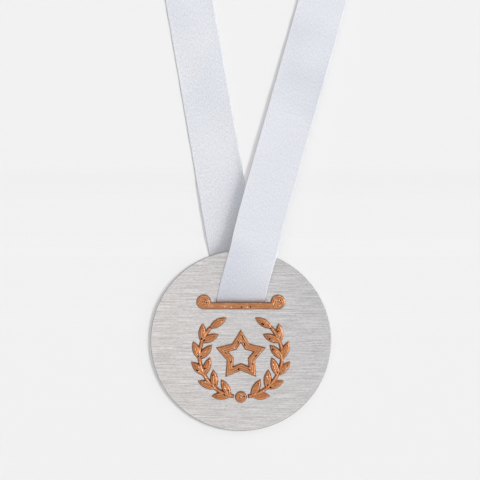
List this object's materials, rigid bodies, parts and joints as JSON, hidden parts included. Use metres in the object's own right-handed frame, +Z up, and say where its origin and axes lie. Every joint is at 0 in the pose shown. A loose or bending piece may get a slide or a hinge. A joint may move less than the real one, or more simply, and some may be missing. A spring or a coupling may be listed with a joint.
{
  "type": "sports finisher medal",
  "caption": "Round brushed steel medal with a copper printed wreath and star, hung by a slot from a pale satin neck ribbon.",
  "frame": {"origin": "where the inside of the ribbon bears on the nape of the neck, in the middle of the sewn lap", "axes": "+Z up as the medal hangs, -Y the way its front face looks, +X to the right as seen from the front"},
  "size_m": [0.1358, 0.1192, 0.3459],
  "materials": {
    "brushed_disc": "brushed in one direction, with fine level grain",
    "copper_print": "copper-coloured printed plastic, satin, with print lines",
    "adhesive": "clear acrylic adhesive film",
    "satin_ribbon": "pale blue-white single-faced satin, dull on the back, with woven edges",
    "thread": "white sewing thread"
  },
  "bodies": {
    "neck_ribbon": {"ribbon_front_flex": "satin_ribbon", "ribbon_back_flex": "satin_ribbon", "ribbon_front_strand": "satin_ribbon", "ribbon_back_strand": "satin_ribbon", "ribbon_right_shoulder": "satin_ribbon", "ribbon_left_shoulder": "satin_ribbon", "seam_thread": "thread"},
    "medal": {"disc": "brushed_disc", "slot_bar": "copper_print", "laurel_left": "copper_print", "laurel_right": "copper_print", "wreath_tie": "copper_print", "star": "copper_print", "slot_bar_film": "adhesive", "laurel_left_film": "adhesive", "laurel_right_film": "adhesive", "wreath_tie_film": "adhesive", "star_film": "adhesive", "ribbon_fold": "satin_ribbon"}
  },
  "joints": [
    {"name": "medal_swing", "type": "hinge", "parent": "neck_ribbon", "child": "medal", "pos_m": [-0.012, -0.11181, -0.23795], "axis": [-1, 0, 0], "range_deg": [0, 75], "deforming": ["ribbon_front_flex", "ribbon_back_flex"]}
  ]
}
